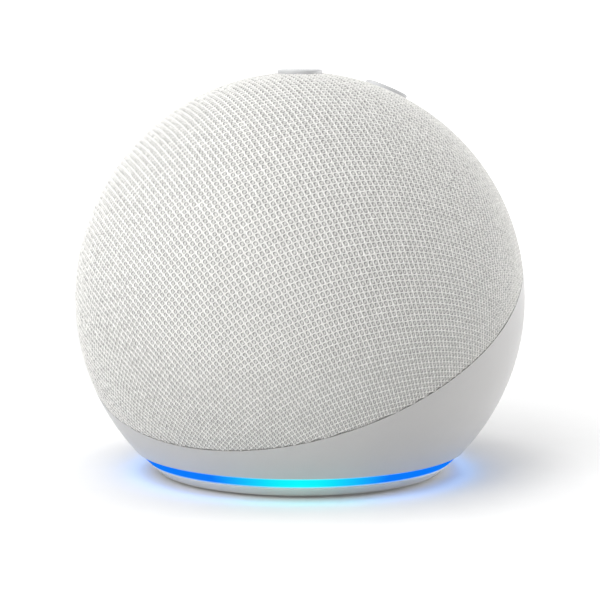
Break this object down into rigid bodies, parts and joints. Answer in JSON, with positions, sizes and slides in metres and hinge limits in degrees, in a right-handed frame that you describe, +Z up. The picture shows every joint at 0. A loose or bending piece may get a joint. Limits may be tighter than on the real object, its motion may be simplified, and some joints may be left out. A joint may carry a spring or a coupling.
{
  "type": "smart speaker",
  "caption": "Round desktop smart speaker: a ball with a flat base, knitted cover over front and top, light ring above the base, press keys on top and ports at the back.",
  "frame": {"origin": "middle of the rubber foot, on the table", "axes": "+Z up, front and light towards -Y, ports towards +Y, +X to the right seen from the front"},
  "size_m": [0.1, 0.1, 0.0895],
  "materials": {
    "housing_plastic": "moulded, fine satin texture",
    "grille_plastic": "moulded, hidden under the cover",
    "knit_fabric": "open honeycomb knit",
    "key_plastic": "moulded, satin",
    "inner_plastic": "moulded",
    "ring_diffuser": "translucent diffuser, lit blue and cyan",
    "base_plastic": "moulded, satin",
    "foot_rubber": "moulded, matte",
    "circuit_board": "solder mask over glass epoxy",
    "black_plastic": "moulded",
    "connector_plastic": "moulded nylon",
    "lamp_case": "moulded",
    "steel": "zinc plated",
    "tin_plate": "tin plated sheet",
    "spreader_alloy": "stamped sheet",
    "pad_rubber": "soft gap filler",
    "mic_brass": "plated can",
    "pin_brass": "plated",
    "ribbon_film": "polyimide film",
    "wire_rubber": "extruded",
    "seal_rubber": "die cut foam",
    "basket_steel": "stamped and painted",
    "magnet_ferrite": "sintered ferrite",
    "cone_paper": "moulded polypropylene",
    "surround_rubber": "moulded",
    "spider_cloth": "resin treated, corrugated",
    "coil_copper": "enamelled wire"
  },
  "bodies": {
    "speaker": {"rear_housing": "housing_plastic", "grille_frame": "grille_plastic", "fabric_cover": "knit_fabric", "hem_ring": "inner_plastic", "key_carrier": "inner_plastic", "tact_switches": "black_plastic", "key_board": "circuit_board", "key_board_screws": "steel", "carrier_screws": "steel", "microphones": "mic_brass", "light_ring": "ring_diffuser", "light_board": "circuit_board", "ring_lamps": "lamp_case", "base_cover": "base_plastic", "rubber_foot": "foot_rubber", "base_screws": "steel", "main_board": "circuit_board", "board_screws": "steel", "shield_cans": "tin_plate", "board_chips": "black_plastic", "heat_spreader": "spreader_alloy", "thermal_pad": "pad_rubber", "antennas": "circuit_board", "dc_inlet": "black_plastic", "dc_inlet_pin": "pin_brass", "audio_socket": "black_plastic", "ribbon_cable": "ribbon_film", "ribbon_connector": "connector_plastic", "speaker_lead": "wire_rubber", "speaker_plug": "connector_plastic", "chamber_front": "inner_plastic", "chamber_rear": "inner_plastic", "chamber_seal": "seal_rubber", "chamber_screws": "steel", "chamber_foot_screws": "steel", "driver_basket": "basket_steel", "driver_gasket": "seal_rubber", "driver_screws": "steel", "driver_top_plate": "steel", "driver_magnet": "magnet_ferrite", "driver_yoke": "steel", "driver_surround": "surround_rubber", "driver_spider": "spider_cloth", "driver_terminal": "inner_plastic"},
    "volume_up_key": {"button_volume_up": "key_plastic"},
    "volume_down_key": {"button_volume_down": "key_plastic"},
    "action_key": {"button_action": "key_plastic"},
    "mic_off_key": {"button_mic_off": "key_plastic"},
    "cone": {"driver_cone": "cone_paper", "dust_cap": "cone_paper", "voice_coil": "coil_copper"}
  },
  "joints": [
    {"name": "volume_up_press", "type": "slide", "parent": "speaker", "child": "volume_up_key", "axis": [0, -0.5476, -0.8368], "range_m": [0, 0.0004], "stiffness_N_per_m": 1200},
    {"name": "volume_down_press", "type": "slide", "parent": "speaker", "child": "volume_down_key", "axis": [0, 0, -1], "range_m": [0, 0.0004], "stiffness_N_per_m": 1200},
    {"name": "action_press", "type": "slide", "parent": "speaker", "child": "action_key", "axis": [-0.2857, -0.2738, -0.9184], "range_m": [0, 0.0004], "stiffness_N_per_m": 1200},
    {"name": "mic_off_press", "type": "slide", "parent": "speaker", "child": "mic_off_key", "axis": [0.2857, -0.2738, -0.9184], "range_m": [0, 0.0004], "stiffness_N_per_m": 1200},
    {"name": "cone_stroke", "type": "slide", "parent": "speaker", "child": "cone", "axis": [0, -1, 0], "range_m": [-0.0012, 0.0012], "stiffness_N_per_m": 1500, "deforming": ["driver_surround", "driver_spider"]}
  ]
}
